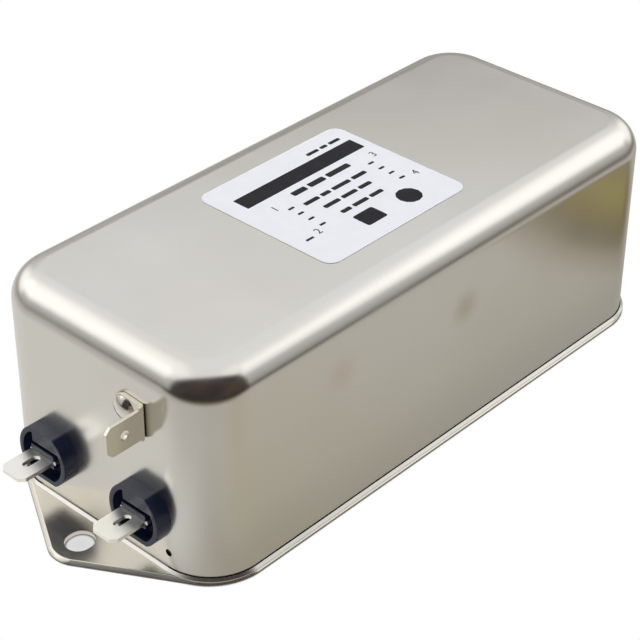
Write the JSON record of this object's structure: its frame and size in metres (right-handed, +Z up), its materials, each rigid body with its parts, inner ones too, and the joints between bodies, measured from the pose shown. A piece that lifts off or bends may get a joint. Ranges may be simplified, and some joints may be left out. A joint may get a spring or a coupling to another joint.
{
  "type": "emi line filter",
  "caption": "Chassis-mount mains line filter: rounded drawn steel can on an eared base plate, with push-on tabs in moulded bushings at each end and a riveted earth tab.",
  "frame": {"origin": "middle of the base plate's underside", "axes": "+X along the can from the line end, with the earth tab, to the load end; +Z up out of the base plate; +Y across"},
  "size_m": [0.154, 0.0586, 0.0455],
  "materials": {
    "nickel_can": "nickel-plated, satin",
    "nickel_plate": "nickel-plated, satin",
    "label_film": "printed film, semi-matt",
    "bushing_plastic": "moulded, glossy",
    "tinned_brass": "tin-plated, bright",
    "nickel_brass": "nickel-plated, bright",
    "tinned_copper": "tinned, bright",
    "liner_film": "film, matt",
    "tray_plastic": "moulded, matt",
    "board_laminate": "laminate, semi-matt",
    "base_plastic": "moulded, matt",
    "ferrite": "coated, matt",
    "winding_copper": "enamelled, glossy",
    "capacitor_case": "moulded box, semi-gloss",
    "capacitor_coating": "dipped, glossy",
    "resistor_coating": "coated, semi-gloss",
    "solder": "solder, bright",
    "resin": "cast, matt"
  },
  "bodies": {
    "root": {"base_plate": "nickel_plate", "bleed_resistor": "resistor_coating", "board_tray": "tray_plastic", "bushing_line_left": "bushing_plastic", "bushing_line_right": "bushing_plastic", "bushing_load_left": "bushing_plastic", "bushing_load_right": "bushing_plastic", "can": "nickel_can", "capacitor_x_line": "capacitor_case", "capacitor_x_load": "capacitor_case", "capacitor_x_middle": "capacitor_case", "capacitor_y_left": "capacitor_coating", "capacitor_y_right": "capacitor_coating", "choke_base_line": "base_plastic", "choke_base_load": "base_plastic", "choke_core_line": "ferrite", "choke_core_load": "ferrite", "circuit_board": "board_laminate", "earth_lead": "tinned_copper", "earth_rivet": "nickel_brass", "earth_tab": "tinned_brass", "insulating_liner": "liner_film", "rating_label": "label_film", "resin_fill": "resin", "solder_joints": "solder", "tab_line_left": "tinned_brass", "tab_line_right": "tinned_brass", "tab_load_left": "tinned_brass", "tab_load_right": "tinned_brass", "winding_line_left": "winding_copper", "winding_line_right": "winding_copper", "winding_load_left": "winding_copper", "winding_load_right": "winding_copper"}
  },
  "joints": []
}
